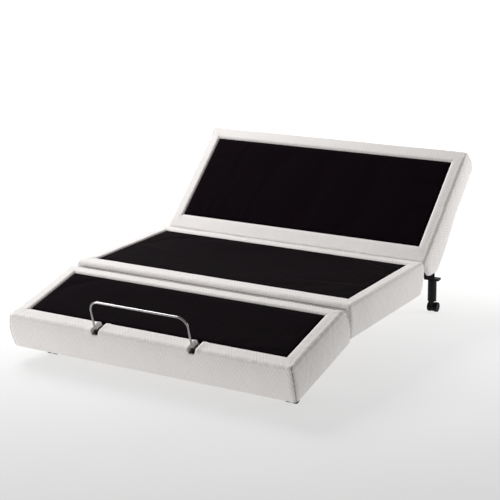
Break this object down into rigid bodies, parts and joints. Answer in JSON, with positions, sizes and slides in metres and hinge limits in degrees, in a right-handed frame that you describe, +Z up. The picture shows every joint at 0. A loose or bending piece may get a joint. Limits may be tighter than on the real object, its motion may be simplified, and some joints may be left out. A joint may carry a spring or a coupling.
{
  "type": "adjustable bed base",
  "caption": "Queen-size adjustable bed base: upholstered head, middle and foot sections hinged on a caster-mounted steel frame, moved by linear actuators.",
  "frame": {"origin": "on the floor, centred under the base's box as it stands with the head section raised", "axes": "+Z up, +Y towards the head end, +X to the right seen from the foot end"},
  "size_m": [1.524, 1.9416, 0.8005],
  "materials": {
    "cover_fabric": "cream quilted damask",
    "deck_fabric": "black woven non-slip cloth",
    "plywood": "raw plywood",
    "chrome": "polished",
    "black_plastic": "moulded, fine grain",
    "wheel_rubber": "matt",
    "aluminium_tube": "drawn",
    "zinc_steel": "zinc plated",
    "motor_paint": "satin black",
    "frame_paint": "black powder coat"
  },
  "bodies": {
    "base": {"side_rails": "frame_paint", "rear_rails": "frame_paint", "cross_rail_front": "frame_paint", "cross_rail_center": "frame_paint", "cross_rail_rear": "frame_paint", "leg_pads": "frame_paint", "deck_risers": "frame_paint", "leg_studs": "zinc_steel", "leg_flanges": "frame_paint", "leg_tubes": "frame_paint", "caster_stems": "zinc_steel", "head_hinge_brackets": "frame_paint", "foot_hinge_brackets": "frame_paint", "hinge_pins": "zinc_steel", "actuator_brackets": "frame_paint", "actuator_rear_pins": "zinc_steel", "control_box": "black_plastic", "control_box_lid": "black_plastic", "mains_inlet": "black_plastic", "mid_deck_board": "plywood", "mid_border": "cover_fabric", "mid_top_panel": "deck_fabric"},
    "head_section": {"head_deck_board": "plywood", "head_border": "cover_fabric", "head_top_panel": "deck_fabric", "head_subframe": "frame_paint", "head_lift_arm": "frame_paint", "head_deck_screws": "zinc_steel"},
    "foot_section": {"foot_deck_board": "plywood", "foot_border": "cover_fabric", "foot_top_panel": "deck_fabric", "foot_subframe": "frame_paint", "foot_lift_arm": "frame_paint", "foot_screws": "frame_paint", "retainer_bar": "chrome", "retainer_brackets": "frame_paint"},
    "head_actuator": {"head_gear_housing": "black_plastic", "head_motor": "motor_paint", "head_outer_tube": "aluminium_tube"},
    "head_screw": {"head_lead_screw": "zinc_steel"},
    "head_rod": {"head_push_rod": "zinc_steel", "head_rod_pin": "zinc_steel"},
    "foot_actuator": {"foot_gear_housing": "black_plastic", "foot_motor": "motor_paint", "foot_outer_tube": "aluminium_tube"},
    "foot_screw": {"foot_lead_screw": "zinc_steel"},
    "foot_rod": {"foot_push_rod": "zinc_steel", "foot_rod_pin": "zinc_steel"},
    "caster_fl": {"caster_hood_fl": "black_plastic", "caster_axle_fl": "zinc_steel"},
    "wheels_fl": {"caster_wheels_fl": "wheel_rubber"},
    "caster_fr": {"caster_hood_fr": "black_plastic", "caster_axle_fr": "zinc_steel"},
    "wheels_fr": {"caster_wheels_fr": "wheel_rubber"},
    "caster_rl": {"caster_hood_rl": "black_plastic", "caster_axle_rl": "zinc_steel"},
    "wheels_rl": {"caster_wheels_rl": "wheel_rubber"},
    "caster_rr": {"caster_hood_rr": "black_plastic", "caster_axle_rr": "zinc_steel"},
    "wheels_rr": {"caster_wheels_rr": "wheel_rubber"}
  },
  "joints": [
    {"name": "head_hinge", "type": "hinge", "parent": "base", "child": "head_section", "pos_m": [0, 0.409, 0.32], "axis": [1, 0, 0], "range_deg": [-42.6, 17.4]},
    {"name": "foot_hinge", "type": "hinge", "parent": "base", "child": "foot_section", "pos_m": [0, -0.425, 0.3], "axis": [-1, 0, 0], "range_deg": [0, 43.9]},
    {"name": "head_actuator_pivot", "type": "hinge", "parent": "base", "child": "head_actuator", "pos_m": [-0.13, -0.002, 0.262], "axis": [1, 0, 0], "range_deg": [-1.8, 0.8]},
    {"name": "head_rod_slide", "type": "slide", "parent": "head_actuator", "child": "head_rod", "axis": [0, 0.991, -0.134], "range_m": [-0.0925, 0.038]},
    {"name": "head_screw_spin", "type": "hinge", "parent": "head_actuator", "child": "head_screw", "pos_m": [-0.13, -0.002, 0.262], "axis": [0, 0.991, -0.134], "range_deg": [-2768, 1136]},
    {"name": "foot_actuator_pivot", "type": "hinge", "parent": "base", "child": "foot_actuator", "pos_m": [0.13, -0.058, 0.262], "axis": [-1, 0, 0], "range_deg": [0, 1.7]},
    {"name": "foot_rod_slide", "type": "slide", "parent": "foot_actuator", "child": "foot_rod", "axis": [0, -0.9865, -0.1639], "range_m": [0, 0.0735]},
    {"name": "foot_screw_spin", "type": "hinge", "parent": "foot_actuator", "child": "foot_screw", "pos_m": [0.13, -0.058, 0.262], "axis": [0, -0.9865, -0.1639], "range_deg": [0, 2207]},
    {"name": "caster_swivel_fl", "type": "hinge", "parent": "base", "child": "caster_fl", "pos_m": [-0.656, -0.769, 0.05], "axis": [0, 0, 1], "continuous": true},
    {"name": "wheel_spin_fl", "type": "hinge", "parent": "caster_fl", "child": "wheels_fl", "pos_m": [-0.656, -0.751, 0.025], "axis": [1, 0, 0], "continuous": true},
    {"name": "caster_swivel_fr", "type": "hinge", "parent": "base", "child": "caster_fr", "pos_m": [0.656, -0.769, 0.05], "axis": [0, 0, 1], "continuous": true},
    {"name": "wheel_spin_fr", "type": "hinge", "parent": "caster_fr", "child": "wheels_fr", "pos_m": [0.656, -0.751, 0.025], "axis": [1, 0, 0], "continuous": true},
    {"name": "caster_swivel_rl", "type": "hinge", "parent": "base", "child": "caster_rl", "pos_m": [-0.672, 0.679, 0.05], "axis": [0, 0, 1], "continuous": true},
    {"name": "wheel_spin_rl", "type": "hinge", "parent": "caster_rl", "child": "wheels_rl", "pos_m": [-0.672, 0.697, 0.025], "axis": [1, 0, 0], "continuous": true},
    {"name": "caster_swivel_rr", "type": "hinge", "parent": "base", "child": "caster_rr", "pos_m": [0.672, 0.679, 0.05], "axis": [0, 0, 1], "continuous": true},
    {"name": "wheel_spin_rr", "type": "hinge", "parent": "caster_rr", "child": "wheels_rr", "pos_m": [0.672, 0.697, 0.025], "axis": [1, 0, 0], "continuous": true}
  ],
  "couplings": [
    {"joint": "head_actuator_pivot", "follows": "head_hinge", "ratio": 0.04054},
    {"joint": "head_rod_slide", "follows": "head_hinge", "m_per_rad": 0.12363},
    {"joint": "head_screw_spin", "follows": "head_hinge", "ratio": 64.734},
    {"joint": "foot_actuator_pivot", "follows": "foot_hinge", "ratio": 0.03815},
    {"joint": "foot_rod_slide", "follows": "foot_hinge", "m_per_rad": 0.09558},
    {"joint": "foot_screw_spin", "follows": "foot_hinge", "ratio": 50.045}
  ]
}
